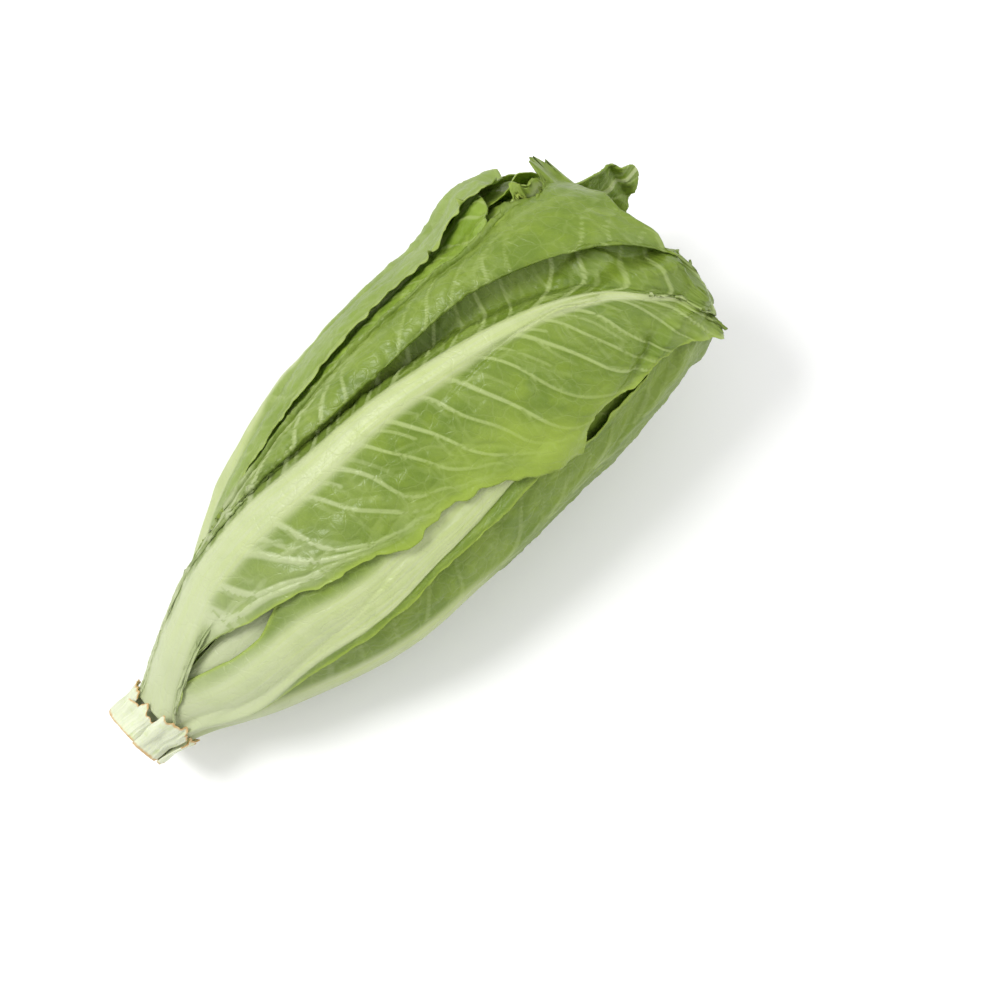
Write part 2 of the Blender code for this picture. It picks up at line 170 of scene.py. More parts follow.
class Stack:
    """Outer radius of everything laid so far, as a share of the whole head's radius there."""

    STEP = 1.25
    START = -20.0
    ROWS = 264
    COLUMNS = 288
    REACH = 3                    # cells that a leaf clears the stack by

    def __init__(self):
        self.share = np.zeros((self.ROWS, self.COLUMNS))

    def add(self, along, angle, radius, times):
        """Raises the stack to a surface given as a grid of points."""
        along, angle, radius = (self.refine(values, times) for values in (along, angle, radius))
        rows = np.clip(np.round((along - self.START) / self.STEP).astype(int), 0, self.ROWS - 1)
        columns = np.round(angle / self.STEP).astype(int) % self.COLUMNS
        np.maximum.at(self.share, (rows, columns), radius / hull_radius(along, angle))

    @staticmethod
    def refine(grid, times):
        """The grid with straight lines filled in between its points."""
        for axis in (0, 1):
            size = grid.shape[axis]
            places = np.linspace(0, size - 1, (size - 1) * times + 1)
            start = np.minimum(places.astype(int), size - 2)
            share = places - start
            share = share[:, None] if axis == 0 else share[None, :]
            grid = np.take(grid, start, axis) * (1 - share) + np.take(grid, start + 1, axis) * share
        return grid

    def cover(self, along, angle):
        """Radius that clears the stack, whose steps are spread out and smoothed, at the given places."""
        spread = self.share
        for _ in range(self.REACH):
            tall = np.pad(spread, ((1, 1), (0, 0)), mode="edge")
            spread = np.maximum(np.maximum(tall[:-2], tall[2:]), spread)
            spread = np.maximum(np.maximum(np.roll(spread, 1, 1), np.roll(spread, -1, 1)), spread)
        for _ in range(self.REACH):
            tall = np.pad(spread, ((1, 1), (0, 0)), mode="edge")
            spread = (tall[:-2] + tall[2:] + spread) / 3
            spread = (np.roll(spread, 1, 1) + np.roll(spread, -1, 1) + spread) / 3
        row = np.clip((along - self.START) / self.STEP, 0, self.ROWS - 1.001)
        column = (angle / self.STEP) % self.COLUMNS
        i, j = row.astype(int), column.astype(int)
        a, b = row - i, column - j
        j, k = j % self.COLUMNS, (j + 1) % self.COLUMNS
        near = spread[i, j] * (1 - b) + spread[i, k] * b
        far = spread[i + 1, j] * (1 - b) + spread[i + 1, k] * b
        return (near * (1 - a) + far * a) * hull_radius(along, angle)


stack = Stack()


# ---- veins

STEP_ALONG_VEIN = 2.0
THINNEST = 0.22                 # half width of a vein where it ends
THINNEST_DRAWN = 0.6            # thinner veins are drawn fainter instead
FAR_OFF = 8.0                   # half widths from a vein beyond which it makes no difference


def grow_vein(points, x, y, heading, bend, way, half, taper, steps, limit):
    """Adds one vein, step by step. Its heading is measured from the rib, and bend(step, share of the way to
    the margin) changes it."""
    trail = []
    for step in range(steps):
        share = abs(x) / max(limit(y, way), 1.0)
        if share > 0.97:
            break
        turn = math.radians(heading + bend(step, share))
        to_x = x + way * math.sin(turn) * STEP_ALONG_VEIN
        to_y = y + math.cos(turn) * STEP_ALONG_VEIN
        to_half = max(half * taper, THINNEST)
        points.append((x, y, to_x, to_y, half, to_half))
        trail.append((to_x, to_y, math.degrees(turn), to_half))
        x, y, half = to_x, to_y, to_half
    return trail


def vein_network(leaf, limit, seed):
    """The side veins of a leaf and their branches: rows of x0, y0, x1, y1 and the half width at each end,
    with x measured from the rib and y along the head."""
    rng = np.random.default_rng(seed)
    segments = []
    base, tip = leaf.base, leaf.tip
    for way in (-1, 1):
        y = base + 8
        main = True
        while y < tip - 6:
            share = (y - base) / (tip - base)
            start = rng.uniform(12, 22)
            open_to = rng.uniform(44, 64) + 12 * share
            phase = rng.uniform(0, 6)
            wobble = rng.uniform(4, 11)

            def sweep(step, out):
                opened = float(ease(step, 2, 10))
                turned_up = float(ease(out, 0.6, 0.92))
                swing = wobble * math.sin(0.45 * step + phase) * opened
                return (open_to - start) * opened - (open_to - 14) * opened * turned_up + swing

            size = leaf.vein_width * (1.0 if main else 0.5)
            half = (1.2 - 0.5 * share) * rng.uniform(0.7, 1.15) * size
            length = 60 if main else int(rng.integers(7, 16))
            trail = grow_vein(segments, 0.5 * way, y, start, sweep, way, half, 0.972, length, limit)
            for number, (x, at, heading, thick) in enumerate(trail):
                if number < 6 or number % 6 != int(rng.integers(0, 3)):
                    continue
                turn = rng.choice((-1, 1)) * rng.uniform(28, 50)

                def straighten(step, out):
                    return -0.6 * turn * min(step / 6, 1)

                length = int(rng.integers(4, 9))
                grow_vein(segments, x, at, heading + turn, straighten, way, 0.5 * thick, 0.93, length, limit)
            y += rng.uniform(6.5, 10.5) * leaf.vein_spacing * (1 - 0.35 * share)
            main = not main
    return np.array(segments, np.float32)


def vein_distance(x, y, segments):
    """Distance from every point to the nearest vein, in half widths of that vein, and that half width."""
    nearest = np.full(x.shape, FAR_OFF)
    boldness = np.zeros(x.shape)
    first, last = np.minimum(segments[:, 1], segments[:, 3]), np.maximum(segments[:, 1], segments[:, 3])
    for row in range(len(x)):
        close = segments[(first < y[row].max() + 6) & (last > y[row].min() - 6)]
        if not len(close):
            continue
        start, run = close[:, 0:2], close[:, 2:4] - close[:, 0:2]
        from_start = np.stack([x[row], y[row]], 1)[:, None] - start[None]
        share = np.clip((from_start * run).sum(2) / (run**2).sum(1), 0, 1)
        off = np.linalg.norm(from_start - share[..., None] * run, axis=2)
        half = close[:, 4] + share * (close[:, 5] - close[:, 4])
        share_off = off / np.maximum(half, THINNEST_DRAWN)
        which = share_off.argmin(1)
        columns = np.arange(len(which))
        nearest[row] = np.minimum(share_off[columns, which], FAR_OFF)
        boldness[row] = half[columns, which]
    return nearest, boldness


# ---- laying a leaf

FOOT_SMOOTHING = 24             # rounds of averaging where a leaf joins the stem


def grid(rows, columns):
    """Places on a leaf: 0 at its base to 1 at its tip, and -1 at its left edge to 1 at its right one."""
    up = np.linspace(0, 1, rows)
    up = 0.8 * up + 0.2 * (3 * up**2 - 2 * up**3)
    side = np.linspace(-1, 1, columns)
    return np.meshgrid(up, side, indexing="ij")


def slant(points, along, angle, radius):
    """How much more than its thickness a sheet takes up along the radius, where it lies at a slant."""
    normal = np.cross(np.gradient(points, axis=0), np.gradient(points, axis=1))
    normal /= np.linalg.norm(normal, axis=2, keepdims=True) + 1e-9
    outwards = to_world(along, angle, radius + 1.0) - points
    return 1 / np.maximum(np.abs((normal * outwards).sum(axis=2)), 0.4)


def from_rib(points):
    """Length over the leaf from its rib, which is its middle column: less than 0 on the left."""
    steps = np.linalg.norm(np.diff(points, axis=1), axis=2)
    length = np.concatenate([np.zeros((len(points), 1)), np.cumsum(steps, axis=1)], axis=1)
    return length - length[:, length.shape[1] // 2][:, None]


def rib_profile(x, leaf, along):
    """1 along the middle of the rib to 0 on the blade. Each flank has its own sharpness."""
    half = leaf.rib_half(along)
    flank = np.where(x < 0, leaf.rib_sharp_left, leaf.rib_sharp_right)
    return 1 / (1 + (np.abs(x) / half) ** flank)


def smoothed(values, times):
    """Values on the leaf's grid, averaged with their neighbours again and again."""
    for _ in range(times):
        wide = np.pad(values, 1, mode="edge")
        beside = wide[1:-1, :-2] + wide[1:-1, 2:] + wide[:-2, 1:-1] + wide[2:, 1:-1]
        values = 0.5 * values + 0.125 * beside
    return values


def lay_leaf(leaf):
    """Lays one leaf over the stack and makes its piece."""
    seed = leaf.seed
    up, side = grid(*leaf.cells)
    along, angle, target = leaf.shape(leaf, up, side)
    x = from_rib(to_world(along, angle, target))
    out = np.abs(side)
    edge = ease(out, 0.55, 1.0)
    tip_share = ease(up, 0.86, 1.0)

    # The outline: lobes and fine teeth at both margins and at the tip.
    grown = ease(along, 30, 100)
    notches = ripple(along, side * 9, 9, seed) + 0.9 * ripple(along, side * 9, 3.2, seed + 1)
    teeth = grown * leaf.teeth * notches
    angle = angle + np.sign(side) * out**7 * np.degrees(teeth / np.maximum(target, 8))
    notches = 1.6 * ripple(x, up, 11, seed + 2) + ripple(x, up, 4, seed + 3)
    along = along + (1 - rib_profile(x, leaf, along)) * tip_share**3 * leaf.teeth * notches

    left_reach, right_reach = -x[:, 0], x[:, -1]
    row_places = along.mean(axis=1)

    def limit(place, way):
        return float(np.interp(place, row_places, left_reach if way < 0 else right_reach))

    segments = vein_network(leaf, limit, seed)
    off_vein, bold = vein_distance(x, along, segments)
    strip = np.where(side < 0, left_reach[:, None], right_reach[:, None]) - leaf.rib_half(along)
    room = ease(strip, 2, 14)
    bold = bold * room
    vein = np.exp(-(off_vein**2) * 0.7) * np.minimum(bold, 1.0)
    rib = rib_profile(x, leaf, along)
    blade = 1 - np.clip(rib * 1.3, 0, 1)

    # Relief of the outer side.
    between = ease(off_vein, 0.6, 4.5) * blade
    puff = 0.5 + 0.5 * ripple(x, along * 0.8, 9, seed + 4)
    relief = leaf.vein_height * vein * (1 - rib) + leaf.pucker * between * puff * grown
    relief += grown * room * leaf.wave * (0.5 + 0.5 * ripple(x, along * 0.6, 26, seed + 5))
    frill = 0.55 + 0.45 * ripple(x * 0.5, along, 10, seed + 6)
    frill += 0.3 * ripple(x, along, 4.5, seed + 7)
    relief += grown * room * leaf.frill * np.maximum(frill, 0) * np.maximum(edge**2, tip_share) * blade
    crumple = ripple(x, along, 9, seed + 8) + 0.6 * ripple(x, along, 4.6, seed + 9)
    near_tip = ease(along, leaf.tip - 55, leaf.tip - 15)
    relief += leaf.crumple * np.maximum(crumple + 0.6, 0) * near_tip
    relief += np.where(side < 0, leaf.lift_left(along), leaf.lift_right(along)) * ease(out, 0.5, 1)
    ridges = ripple(x, along * 0.02, 2.4, seed + 10) * 0.22 + ripple(x, along * 0.03, 1.1, seed + 11) * 0.1
    relief += ridges * rib * ease(leaf.rib_half(along), 1.5, 4)
    relief = np.maximum(relief, 0)

    swell = leaf.rib_height(along) * rib
    thickness = MARGIN + (BLADE - MARGIN) * (1 - ease(out, 0.8, 1.0)) + 0.75 * swell
    room_below = leaf.looseness * LEAF_GAP(along) + leaf.stand_off(side) * grown
    inner = np.maximum(target, stack.cover(along, angle) + room_below)
    foot = 1 - ease(along, 45, 110)
    inner += foot * (smoothed(inner, FOOT_SMOOTHING) - inner)
    base_points = to_world(along, angle, inner)
    outer = inner + (thickness + 0.25 * swell + relief) * slant(base_points, along, angle, inner)
    outer += foot * (smoothed(outer, FOOT_SMOOTHING) - outer)
    points = to_world(along, angle, outer)
    points[..., 2] = np.maximum(points[..., 2], ABOVE_TABLE)
    stack.add(along, angle, outer, leaf.refine)

    pale = leaf.pale(along) + 0.12 * ripple(x, along, 14, seed + 12)
    pale = np.maximum(pale, (1 - room) * (1 - grown))
    fields = {
        "rib": rib * leaf.rib_show(along),
        "vein": off_vein,
        "bold": np.clip(bold, 0, 1) * leaf.vein_show,
        "pale": np.clip(pale, 0, 1),
        "edge": np.maximum(
            ease(np.maximum(out, tip_share * 0.9), 0.86, 1.0),
            leaf.glow_edge(along) * ease(side + 0.25 * ripple(x, along, 12, seed + 13), 0.45, 1.0),
        ),
        "blade": blade,
        "thickness": thickness * MM,
    }
    places = np.stack([x + 211.0 * seed, along, np.zeros_like(x)], axis=2)
    mesh = outward_mesh(leaf.name, points, fields, places)
    with_wall(leaf.name, leaf.slot, mesh, leaf.finish, leaf.net_size, leaf.net_height)


# ---- meshes

pieces = []


def put_in_scene(name, data):
    obj = bpy.data.objects.new(name, data)
    bpy.context.scene.collection.objects.link(obj)
    return obj


def add_piece(node, slot, mesh):
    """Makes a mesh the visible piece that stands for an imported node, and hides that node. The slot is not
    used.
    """
    mesh.polygons.foreach_set("use_smooth", [True] * len(mesh.polygons))
    piece = put_in_scene(node + "_fresh", mesh)
    pieces.append(piece)
    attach(piece, "root")
    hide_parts(node)


def grid_mesh(name, points, fields, places, close_round=False):
    """A mesh of four-sided faces from a grid of points in millimetres, with its fields as attributes."""
    rows, columns = points.shape[:2]
    index = np.arange(rows * columns).reshape(rows, columns)
    if close_round:
        index = np.concatenate([index, index[:, :1]], axis=1)
    quads = np.stack([index[:-1, :-1], index[:-1, 1:], index[1:, 1:], index[1:, :-1]], axis=2).reshape(-1, 4)
    mesh = bpy.data.meshes.new(name)
    mesh.from_pydata((points * MM).reshape(-1, 3), [], quads)
    for field, values in {**fields, "place": places}.items():
        kind, part = ("FLOAT_VECTOR", "vector") if values.ndim == 3 else ("FLOAT", "value")
        kept = mesh.attributes.new(field, kind, "POINT")
        kept.data.foreach_set(part, values.astype(np.float32).ravel())
    return mesh


def outward_mesh(name, points, fields, places):
    """A mesh from a grid of points, turned so that its faces look away from the axis of the head."""
    normal = np.cross(np.gradient(points, axis=1), np.gradient(points, axis=0))
    middle = points.mean(axis=(0, 1))
    foot = BUTT + ((middle - BUTT) @ ALONG) * ALONG
    if (normal @ (middle - foot)).mean() <= 0:
        points, places = points[:, ::-1], places[:, ::-1]
        fields = {field: values[:, ::-1] for field, values in fields.items()}
    return grid_mesh(name, points, fields, places)


SAME_PLACE = 1e-6               # metres: points closer than this are merged


def feed(tree, socket, value):
    """Links a socket to an output, or gives it a plain value."""
    if isinstance(value, bpy.types.NodeSocket):
        tree.links.new(value, socket)
    else:
        socket.default_value = value


def sums(tree, kind, *values):
    """A node that reckons with its values."""
    node = tree.nodes.new("ShaderNodeMath")
    node.operation = kind
    for socket, value in zip(node.inputs, values):
        feed(tree, socket, value)
    return node.outputs[0]


def leaf_wall_tree():
    """Geometry nodes: pushes the blade out between its small veins and gives the leaf its wall."""
    tree = bpy.data.node_groups.new("leaf_wall", "GeometryNodeTree")
    face = tree.interface
    wanted = {
        "Geometry": "Geometry", "Net Size": "Float", "Net Height": "Float", "Wall Share": "Float",
        "Finish": "Material",
    }
    for name, kind in wanted.items():
        face.new_socket(name, in_out="INPUT", socket_type="NodeSocket" + kind)
    face.new_socket("Geometry", in_out="OUTPUT", socket_type="NodeSocketGeometry")
    add, link = tree.nodes.new, tree.links.new
    given = add("NodeGroupInput")
    result = add("NodeGroupOutput")

    def named(name, kind):
        node = add("GeometryNodeInputNamedAttribute")
        node.data_type = kind
        node.inputs["Name"].default_value = name
        return node.outputs["Attribute"]

    def times(first, second):
        return sums(tree, "MULTIPLY", first, second)

    def after(kind, geometry):
        node = add(kind)
        link(geometry, node.inputs[0])
        return node

    cells = add("ShaderNodeTexVoronoi")
    cells.feature = "DISTANCE_TO_EDGE"
    link(named("place", "FLOAT_VECTOR"), cells.inputs["Vector"])
    link(sums(tree, "DIVIDE", 1.0, given.outputs["Net Size"]), cells.inputs["Scale"])
    puff = sums(tree, "MINIMUM", times(cells.outputs["Distance"], 3.0), 1.0)
    puff = times(times(puff, given.outputs["Net Height"]), named("blade", "FLOAT"))
    outwards = add("ShaderNodeVectorMath")
    outwards.operation = "SCALE"
    link(add("GeometryNodeInputNormal").outputs["Normal"], outwards.inputs[0])
    link(puff, outwards.inputs["Scale"])
    shaped = after("GeometryNodeSetPosition", given.outputs["Geometry"])
    link(outwards.outputs[0], shaped.inputs["Offset"])

    wall = after("GeometryNodeExtrudeMesh", shaped.outputs["Geometry"])
    wall.inputs["Individual"].default_value = False
    inwards = times(named("thickness", "FLOAT"), times(given.outputs["Wall Share"], -1.0))
    link(inwards, wall.inputs["Offset Scale"])
    turned = after("GeometryNodeFlipFaces", wall.outputs["Mesh"])
    both = after("GeometryNodeJoinGeometry", shaped.outputs["Geometry"])
    link(turned.outputs["Mesh"], both.inputs["Geometry"])
    closed = after("GeometryNodeMergeByDistance", both.outputs["Geometry"])
    closed.inputs["Distance"].default_value = SAME_PLACE
    real = after("GeometryNodeRealizeInstances", closed.outputs["Geometry"])
    painted = after("GeometryNodeSetMaterial", real.outputs["Geometry"])
    link(given.outputs["Finish"], painted.inputs["Material"])
    link(painted.outputs["Geometry"], result.inputs["Geometry"])
    return tree


LEAF_WALL = leaf_wall_tree()


def with_wall(node, slot, mesh, finish, net_size=6.5, net_height=0.25):
    """Runs the wall tree over a leaf's outer side and makes its piece from the result, a plain mesh."""
    rough = put_in_scene(node + "_side", mesh)
    wall = rough.modifiers.new("wall", "NODES")
    wall.node_group = LEAF_WALL
    sizes = {"Net Size": net_size, "Net Height": net_height * MM, "Wall Share": 1.0, "Finish": finish}
    for item in LEAF_WALL.interface.items_tree:
        if item.in_out == "INPUT" and item.name in sizes:
            wall[item.identifier] = sizes[item.name]
    seen = rough.evaluated_get(bpy.context.evaluated_depsgraph_get())
    made = bpy.data.meshes.new_from_object(seen)
    bpy.data.objects.remove(rough)
    made.name = node + "_fresh"
    add_piece(node, slot, made)


# ---- finishes

def shade(red, green, blue):
    """A colour given as it looks on screen, from 0 to 255, turned to light."""
    light = []
    for value in (red, green, blue):
        value = value / 255
        light.append(value / 12.92 if value <= 0.04045 else ((value + 0.055) / 1.055) ** 2.4)
    return (*light, 1.0)


class Finish:
    """A material and short ways to add nodes to it."""

    def __init__(self, name):
        self.material = bpy.data.materials.new(name)
        self.material.use_nodes = True
        self.tree = self.material.node_tree
        self.shader = self.tree.nodes["Principled BSDF"]
        self.output = self.tree.nodes["Material Output"]

    def node(self, kind, inputs=(), **settings):
        node = self.tree.nodes.new(kind)
        for name, value in settings.items():
            setattr(node, name, value)
        for name, value in dict(inputs).items():
            self.feed(node.inputs[name], value)
        return node

    def feed(self, socket, value):
        feed(self.tree, socket, value)

    def field(self, name, vector=False):
        node = self.node("ShaderNodeAttribute", attribute_name=name)
        return node.outputs["Vector" if vector else "Fac"]

    def sums(self, kind, *values):
        return sums(self.tree, kind, *values)

    def times(self, first, second):
        return self.sums("MULTIPLY", first, second)

    def span(self, value, start, end):
        """0 where value is at start to 1 where it is at end, smoothly."""
        node = self.node("ShaderNodeMapRange", interpolation_type="SMOOTHSTEP")
        for name, given in (("Value", value), ("From Min", start), ("From Max", end)):
            self.feed(node.inputs[name], given)
        return node.outputs["Result"]

    def mix(self, share, first, second, blend="MIX"):
        node = self.node("ShaderNodeMix", data_type="RGBA", blend_type=blend)
        self.feed(node.inputs[0], share)
        self.feed(node.inputs[6], first)
        self.feed(node.inputs[7], second)
        return node.outputs[2]

    def stretched(self, vector, scale):
        node = self.node("ShaderNodeMapping", {"Vector": vector, "Scale": scale})
        return node.outputs["Vector"]

    def noise(self, vector, scale=1.0, detail=2.0, rough=0.5):
        inputs = {"Vector": vector, "Scale": scale, "Detail": detail, "Roughness": rough}
        return self.node("ShaderNodeTexNoise", inputs).outputs["Fac"]


PALE_WHITE = shade(209, 215, 184)
PALE_RIB = shade(203, 215, 146)
VEIN_PALE = shade(180, 197, 122)
LIT_THROUGH = shade(186, 214, 62)
VEIN_SHARE = 0.9                # how much of its own colour a side vein shows
SMOOTHEST = 0.28 - 0.06         # roughness of the glossiest spots of a leaf
WATERY = 1.42                   # index of refraction


def leaf_finish(name, *colours, glow=0.3):
    """A living leaf: mottled blade, net of small veins, pale side veins with a band of painted shade beside
    each, whitish base and streaked rib. Its colours are deep, middle and bright green and that of its
    margin."""
    deep, middle, bright, margin = (shade(*each) for each in colours)
    finish = Finish(name)
    mix, span, sums, times = finish.mix, finish.span, finish.sums, finish.times
    noise, feed = finish.noise, finish.feed
    place = finish.field("place", vector=True)
    rib, vein, bold, pale, edge = (finish.field(each) for each in ("rib", "vein", "bold", "pale", "edge"))

    mottle = noise(place, 0.05, 3.0)
    patches = noise(place, 0.11, 2.0)
    fine = noise(place, 0.7, 3.0, 0.6)
    colour = mix(sums("MULTIPLY_ADD", span(mottle, 0.34, 0.66), 0.6, 0.3), deep, middle)
    colour = mix(times(span(patches, 0.45, 0.75), 0.4), colour, bright)
    colour = mix(times(span(fine, 0.35, 0.75), 0.22), colour, deep)

    warp = finish.node("ShaderNodeTexNoise", {"Vector": place, "Scale": 0.25, "Detail": 1.0})
    warped = finish.node("ShaderNodeVectorMath", operation="MULTIPLY_ADD")
    feed(warped.inputs[0], warp.outputs["Color"])
    warped.inputs[1].default_value = (3.0, 3.0, 0.0)
    feed(warped.inputs[2], place)
    nets = []
    for size, wide in ((6.5, 0.075), (2.6, 0.09)):
        cells = finish.node("ShaderNodeTexVoronoi", {"Vector": warped.outputs[0], "Scale": 1 / size},
                            feature="DISTANCE_TO_EDGE")
        nets.append(span(cells.outputs["Distance"], wide, 0.0))
    net = sums("MAXIMUM", nets[0], times(nets[1], 0.35))
    colour = mix(times(net, 0.15), colour, VEIN_PALE)

    # Side veins are pale, and near the base they widen until only islands of green are left between them.
    widen = sums("MULTIPLY_ADD", pale, 2.6, 1.5)
    vein_mask = span(vein, widen, times(widen, 0.3))
    # Painted shade: the blade from one to five half widths off each side vein, away from the rib, is
    # darkened towards the deep green as if shaded by the raised vein.
    beside = times(span(vein, 1.0, 2.0), span(vein, 5.0, 2.0))
    beside = times(beside, span(rib, 0.12, 0.01))
    colour = mix(times(times(beside, bold), 0.4), colour, deep)
    shown = times(span(bold, 0.1, 0.85), VEIN_SHARE)
    colour = mix(times(vein_mask, shown), colour, mix(pale, VEIN_PALE, PALE_WHITE))
    whitened = times(times(pale, pale), 0.85)
    colour = mix(whitened, colour, mix(0.35, PALE_WHITE, PALE_RIB))
    colour = mix(times(edge, 0.65), colour, margin)

    streaks = noise(finish.stretched(place, (0.9, 0.03, 1.0)), 1.0, 3.0, 0.6)
    rib_colour = mix(times(span(streaks, 0.3, 0.7), 0.5), PALE_RIB, PALE_WHITE)
    rib_colour = mix(times(span(patches, 0.4, 0.7), 0.3), rib_colour, VEIN_PALE)
    rib_colour = mix(times(pale, 0.6), rib_colour, PALE_WHITE)
    rib_mask = span(rib, 0.25, 0.8)
    colour = mix(rib_mask, colour, rib_colour)

    height = times(net, -0.35)
    height = sums("MULTIPLY_ADD", fine, 0.5, height)
    height = sums("MULTIPLY_ADD", times(streaks, rib_mask), 0.9, height)
    bump = finish.node("ShaderNodeBump", {"Height": height, "Strength": 0.5, "Distance": 0.0005})
    rough = sums("MULTIPLY_ADD", fine, 0.22, SMOOTHEST)

    shader = finish.shader
    feed(shader.inputs["Base Color"], colour)
    feed(shader.inputs["Roughness"], rough)
    feed(shader.inputs["Normal"], bump.outputs["Normal"])
    shader.inputs["IOR"].default_value = WATERY
    through = finish.node("ShaderNodeBsdfTranslucent", {"Normal": bump.outputs["Normal"]})
    lit = mix(0.45, colour, LIT_THROUGH)
    feed(through.inputs["Color"], lit)
    both = finish.node("ShaderNodeMixShader")
    both.inputs[0].default_value = glow
    finish.tree.links.new(shader.outputs[0], both.inputs[1])
    finish.tree.links.new(through.outputs[0], both.inputs[2])
    finish.tree.links.new(both.outputs[0], finish.output.inputs["Surface"])
    return finish.material


BRIGHT_LEAF_FINISH = leaf_finish(
    "bright_leaf_blade", (126, 156, 46), (158, 186, 70), (190, 210, 108), (196, 210, 120),
)
OUTER_FINISH = leaf_finish(
    "outer_leaf_green", (106, 132, 40), (140, 162, 68), (148, 172, 50), (172, 194, 76),
)
PALE_LEAF_FINISH = leaf_finish(
    "shaded_leaf_green", (134, 158, 66), (160, 180, 100), (156, 182, 66), (180, 198, 104),
)
INNER_FINISH = leaf_finish(
    "inner_leaf_green", (150, 176, 66), (172, 194, 88), (178, 200, 70), (190, 208, 96), glow=0.35,
)
HEART_FINISH = leaf_finish(
    "heart_leaf_yellow", (184, 198, 92), (204, 212, 118), (208, 216, 100), (196, 210, 96), glow=0.35,
)


def stem_finish(name, *colours, brown_share):
    """Pale flesh, browned and darkened where it was cut or torn, by the brown attribute."""
    flesh, browned, dark = (shade(*each) for each in colours)
    finish = Finish(name)
    mix, span, sums, times = finish.mix, finish.span, finish.sums, finish.times
    noise, feed = finish.noise, finish.feed
    place = finish.field("place", vector=True)
    brown = finish.field("brown")
    cloud = noise(place, 0.22, 3.0, 0.6)
    fine = noise(place, 1.4, 3.0, 0.65)
    streaks = noise(finish.stretched(place, (1.3, 0.08, 1.0)), 1.0, 3.0, 0.6)
    colour = mix(span(streaks, 0.3, 0.72), flesh, PALE_WHITE)
    colour = mix(times(span(cloud, 0.5, 0.75), 0.5), colour, VEIN_PALE)
    stained = sums("ADD", brown, times(sums("SUBTRACT", cloud, 0.5), 0.8))
    colour = mix(times(span(stained, 0.35, 0.8), brown_share), colour, browned)
    darkest = span(sums("ADD", stained, times(fine, 0.3)), 0.95, 1.25)
    colour = mix(times(darkest, 0.7), colour, dark)
    height = sums("MULTIPLY_ADD", streaks, 0.8, times(fine, 0.6))
    bump = finish.node("ShaderNodeBump", {"Height": height, "Strength": 0.6, "Distance": 0.0006})
    shader = finish.shader
    feed(shader.inputs["Base Color"], colour)
    feed(shader.inputs["Roughness"], sums("MULTIPLY_ADD", fine, 0.25, 0.3))
    feed(shader.inputs["Normal"], bump.outputs["Normal"])
    shader.inputs["Subsurface Weight"].default_value = 0.25
    shader.inputs["Subsurface Radius"].default_value = (1.0, 1.0, 0.6)
    shader.inputs["Subsurface Scale"].default_value = 0.003
    return finish.material


STEM_FINISH = stem_finish(
    "cut_stem_flesh", (206, 207, 184), (202, 146, 104), (160, 84, 46), brown_share=0.95,
)
STUB_FINISH = stem_finish(
    "pale_stub_flesh", (200, 205, 178), (190, 150, 92), (138, 88, 44), brown_share=0.9,
)


# ---- kinds of leaf

def wrapped(leaf, up, side):
    """The plain way a leaf lies: wrapped round the head at one level, with a rounded tip."""
    reach = leaf.tip - leaf.rounding * np.abs(side) ** 2.2
    along = leaf.base + (reach - leaf.base) * up
    rib = leaf.rib(along)
    edge = np.where(side < 0, leaf.left(along), leaf.right(along))
    angle = rib + np.abs(side) * (edge - rib)
    tuck = np.where(side < 0, leaf.tuck_left, leaf.tuck_right) * side**2
    return along, angle, leaf.level(along) * hull_radius(along, angle) - tuck


def leaf_of(name, base, tip, **more):
    """What every leaf has unless it says otherwise. Where it gives (place, value) knots it gets a track."""
    leaf = SimpleNamespace(
        name=name, base=base, tip=tip, shape=wrapped, seed=len(pieces) + 11, slot="outer_leaf",
        finish=OUTER_FINISH, cells=(190, 121), refine=2, rounding=22, looseness=1.0, stand_off=steady(0.0),
        tuck_left=0, tuck_right=0, lift_left=steady(0.0), lift_right=steady(0.0), glow_edge=steady(0.0),
        teeth=1.0, frill=1.6, crumple=0.0, wave=1.4, pucker=0.9, net_size=6.0, net_height=0.42,
        vein_height=0.7, vein_width=1.0, vein_show=1.0, vein_spacing=1.0,
        rib_sharp_left=4, rib_sharp_right=4, rib_show=steady(1.0),
        pale=track((base, 1.0), (50, 0.62), (85, 0.25), (130, 0.06), (200, 0.0)),
    )
    for fact, value in more.items():
        has_knots = isinstance(value, tuple) and isinstance(value[0], tuple)
        setattr(leaf, fact, track(*value) if has_knots else value)
    return leaf


def spiral_leaf(name, turn, base, tip, widest, level, finish, slot, cells):
    """A leaf of the heart or of the layers round it: its edges follow from its width."""

    def half_angle(along):
        share = (along - base) / (tip - base)
        half = widest * track((0, 0.16), (0.3, 0.5), (0.65, 1.0), (1, 0.82))(share)
        return np.degrees(half / np.maximum(level * HALF_WIDTH(along), 7.0))

    return leaf_of(
        name, base, tip, finish=finish, slot=slot, cells=cells, refine=4, rounding=0.14 * (tip - base),
        rib=steady(turn), level=steady(level),
        left=lambda along: turn - half_angle(along), right=lambda along: turn + half_angle(along),
        rib_half=((base, 4.0), (tip, 1.2)), rib_height=((base, 1.6), (tip, 0.2)),
        frill=2.2, crumple=1.0, looseness=1.6, vein_spacing=1.4,
        pale=((base, 0.9), (base + 50, 0.45), (tip, 0.1)),
    )


def big_leaf(name, base, tip, rib, left, right, level, swell=2.0, wide=1.0, **more):
    """One of the big leaves, from tracks of its rib and its two edges round the head, in degrees."""
    rib_half = (base, 7.5 * wide), (60, 7 * wide), (110, 6 * wide), (200, 3.6 * wide), (tip, 0.9)
    more.setdefault("rib_half", rib_half)
    rib_height = (base, 0.35 * swell), (50, 1.2 * swell), (110, 1.2 * swell), (200, 0.7 * swell), (tip, 0.15)
    return leaf_of(
        name, base, tip, rib=rib, left=left, right=right, level=level, rib_height=rib_height, **more
    )


